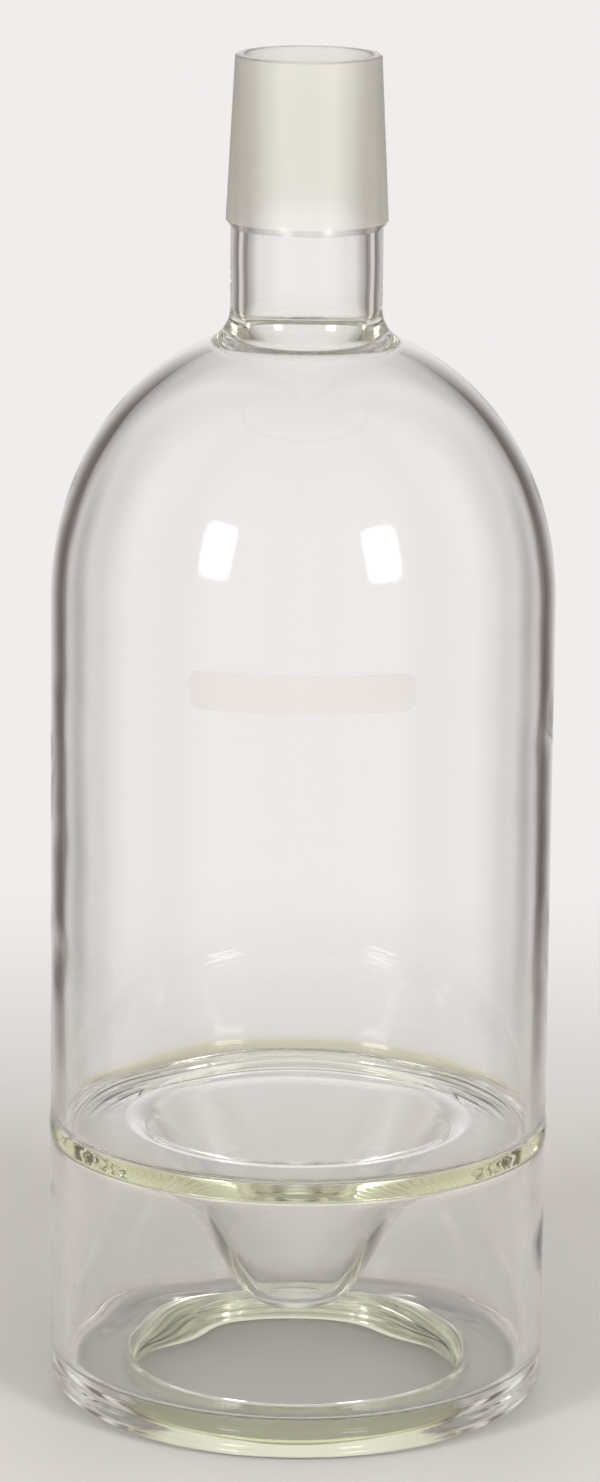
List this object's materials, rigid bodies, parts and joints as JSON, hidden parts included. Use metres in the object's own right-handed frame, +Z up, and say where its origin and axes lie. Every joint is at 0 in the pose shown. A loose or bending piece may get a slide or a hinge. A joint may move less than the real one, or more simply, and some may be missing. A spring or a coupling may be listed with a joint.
{
  "type": "laboratory glass reservoir bottle with conical sump",
  "caption": "Clear glass reservoir bottle with a ground male cone, domed shoulder, raised floor with a conical sump, and an open skirt with a foot ring.",
  "frame": {"origin": "on the bottle's axis, at the plane that the foot ring stands on", "axes": "+Z up along the bottle's axis, out of the mouth; -Y towards the front, where the writing patch is; +X to the right"},
  "size_m": [0.109, 0.109, 0.2939],
  "materials": {
    "clear_glass": "fire-polished clear borosilicate glass",
    "seal_glass": "thick fire-polished glass with a pale yellow-green cast",
    "ground_glass": "finely ground, frosted outside",
    "patch_enamel": "thin matt white enamel, fired on"
  },
  "bodies": {
    "root": {"ground_cone": "ground_glass", "neck_tube": "clear_glass", "neck_seal": "seal_glass", "shoulder_dome": "clear_glass", "body_tube": "clear_glass", "floor_seal": "seal_glass", "sump_floor": "clear_glass", "sump_cone": "clear_glass", "skirt_tube": "clear_glass", "foot_ring": "seal_glass", "writing_patch": "patch_enamel"}
  },
  "joints": []
}
